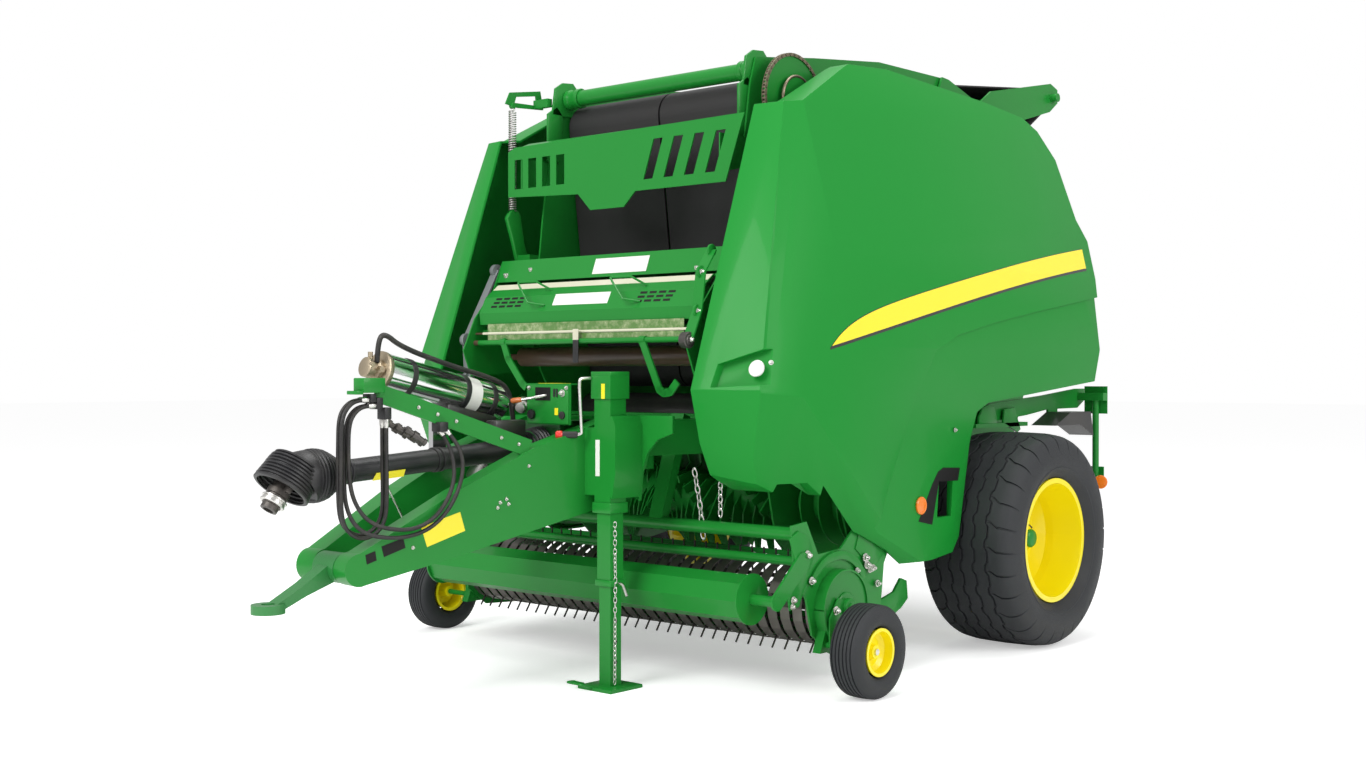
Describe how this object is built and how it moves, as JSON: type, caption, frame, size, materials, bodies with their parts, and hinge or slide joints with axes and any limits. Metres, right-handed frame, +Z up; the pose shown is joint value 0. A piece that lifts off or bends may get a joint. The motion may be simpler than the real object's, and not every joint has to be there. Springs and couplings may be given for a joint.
{
  "type": "round baler",
  "caption": "Towed round baler with a tined pickup, feed rotor, belt chamber, opening tailgate and hinged side panels, parked on its jack.",
  "frame": {"origin": "on the ground under the middle of the model's box", "axes": "+X to the machine's left side, +Y to its rear, +Z up"},
  "size_m": [2.773, 4.827, 2.93],
  "materials": {
    "green": "glossy",
    "rim_yellow": "glossy",
    "black_paint": "satin",
    "steel": "satin",
    "dark_steel": "satin",
    "cast": "satin",
    "chrome": "polished",
    "tyre": "matte",
    "rubber": "matte",
    "plastic": "satin",
    "lens": "glossy"
  },
  "bodies": {
    "chassis": {"belt_spring": "green", "drawbar": "green", "drive_chain": "dark_steel", "drive_shaft": "plastic", "drive_sprockets": "dark_steel", "front_belts": "rubber", "front_guard": "green", "front_rollers": "black_paint", "gearbox": "cast", "hose_bracket": "green", "jack_tube": "green", "lamp_brackets": "green", "main_frame": "green", "net_box": "green", "net_rollers": "rubber", "oil_reservoir": "chrome", "rear_reflectors": "lens", "shaft_cones": "plastic", "side_wall_left": "green", "side_wall_right": "green", "top_tube": "green", "tow_eye": "cast", "valve_box": "green", "wheel_chocks": "black_paint"},
    "wheel_left": {"tyre_left": "tyre", "rim_left": "rim_yellow"},
    "wheel_right": {"tyre_right": "tyre", "rim_right": "rim_yellow"},
    "tailgate": {"gate_wall_left": "green", "gate_wall_right": "green", "gate_frame": "green", "gate_rollers": "steel", "gate_belts": "rubber", "tension_arms": "green"},
    "gate_barrel_left": {"gate_barrel_left": "black_paint"},
    "gate_barrel_right": {"gate_barrel_right": "black_paint"},
    "gate_rod_left": {"gate_rod_left": "chrome"},
    "gate_rod_right": {"gate_rod_right": "chrome"},
    "panel_left": {"side_panel_left": "green"},
    "panel_right": {"side_panel_right": "green"},
    "pickup": {"pickup_frame": "green", "pickup_bands": "dark_steel"},
    "gauge_wheel_left": {"gauge_tyre_left": "tyre", "gauge_rim_left": "rim_yellow"},
    "gauge_wheel_right": {"gauge_tyre_right": "tyre", "gauge_rim_right": "rim_yellow"},
    "reel": {"pickup_reel": "dark_steel"},
    "wind_guard": {"wind_guard": "green"},
    "windrow_roller": {"windrow_roller": "green"},
    "feed_rotor": {"feed_rotor": "green"},
    "net_lid": {"net_lid": "green"},
    "jack_leg": {"jack_leg": "green"}
  },
  "joints": [
    {"name": "wheel_left", "type": "hinge", "parent": "chassis", "child": "wheel_left", "pos_m": [1.109, 1.1235, 0.51], "axis": [1, 0, 0], "continuous": true},
    {"name": "gate_barrel_left", "type": "hinge", "parent": "chassis", "child": "gate_barrel_left", "pos_m": [0.705, 0.6735, 1], "axis": [1, 0, 0], "range_deg": [0, 3]},
    {"name": "gate_rod_left", "type": "slide", "parent": "gate_barrel_left", "child": "gate_rod_left", "axis": [0, 0.6606, 0.7507], "range_m": [0, 0.82]},
    {"name": "panel_left", "type": "hinge", "parent": "chassis", "child": "panel_left", "pos_m": [0.795, 0.7735, 2.61], "axis": [0, -1, 0], "range_deg": [0, 65]},
    {"name": "gauge_wheel_left", "type": "hinge", "parent": "pickup", "child": "gauge_wheel_left", "pos_m": [1.314, -0.4275, 0.19], "axis": [1, 0, 0], "continuous": true},
    {"name": "wheel_right", "type": "hinge", "parent": "chassis", "child": "wheel_right", "pos_m": [-1.109, 1.1235, 0.51], "axis": [1, 0, 0], "continuous": true},
    {"name": "gate_barrel_right", "type": "hinge", "parent": "chassis", "child": "gate_barrel_right", "pos_m": [-0.705, 0.6735, 1], "axis": [1, 0, 0], "range_deg": [0, 3]},
    {"name": "gate_rod_right", "type": "slide", "parent": "gate_barrel_right", "child": "gate_rod_right", "axis": [0, 0.6606, 0.7507], "range_m": [0, 0.82]},
    {"name": "panel_right", "type": "hinge", "parent": "chassis", "child": "panel_right", "pos_m": [-0.795, 0.7735, 2.61], "axis": [0, 1, 0], "range_deg": [0, 65]},
    {"name": "gauge_wheel_right", "type": "hinge", "parent": "pickup", "child": "gauge_wheel_right", "pos_m": [-1.314, -0.4275, 0.19], "axis": [1, 0, 0], "continuous": true},
    {"name": "tailgate", "type": "hinge", "parent": "chassis", "child": "tailgate", "pos_m": [0, 1.2435, 2.74], "axis": [1, 0, 0], "range_deg": [0, 60]},
    {"name": "pickup", "type": "hinge", "parent": "chassis", "child": "pickup", "pos_m": [0, 0.1135, 0.72], "axis": [-1, 0, 0], "range_deg": [0, 12]},
    {"name": "reel", "type": "hinge", "parent": "pickup", "child": "reel", "pos_m": [0, -0.3065, 0.332], "axis": [1, 0, 0], "continuous": true},
    {"name": "wind_guard", "type": "hinge", "parent": "pickup", "child": "wind_guard", "pos_m": [0, -0.5565, 0.54], "axis": [-1, 0, 0], "range_deg": [0, 20]},
    {"name": "windrow_roller", "type": "hinge", "parent": "wind_guard", "child": "windrow_roller", "pos_m": [0, -0.7265, 0.395], "axis": [1, 0, 0], "continuous": true},
    {"name": "feed_rotor", "type": "hinge", "parent": "chassis", "child": "feed_rotor", "pos_m": [0, 0.1135, 0.72], "axis": [1, 0, 0], "continuous": true},
    {"name": "net_lid", "type": "hinge", "parent": "chassis", "child": "net_lid", "pos_m": [0, -0.6175, 1.716], "axis": [-1, 0, 0], "range_deg": [0, 75]},
    {"name": "jack_leg", "type": "slide", "parent": "chassis", "child": "jack_leg", "axis": [0, 0, 1], "range_m": [0, 0.35]}
  ],
  "couplings": [
    {"joint": "gate_barrel_left", "follows": "tailgate", "ratio": 0.0253},
    {"joint": "gate_rod_left", "follows": "tailgate", "m_per_rad": 0.765},
    {"joint": "gate_barrel_right", "follows": "tailgate", "ratio": 0.0253},
    {"joint": "gate_rod_right", "follows": "tailgate", "m_per_rad": 0.765}
  ]
}
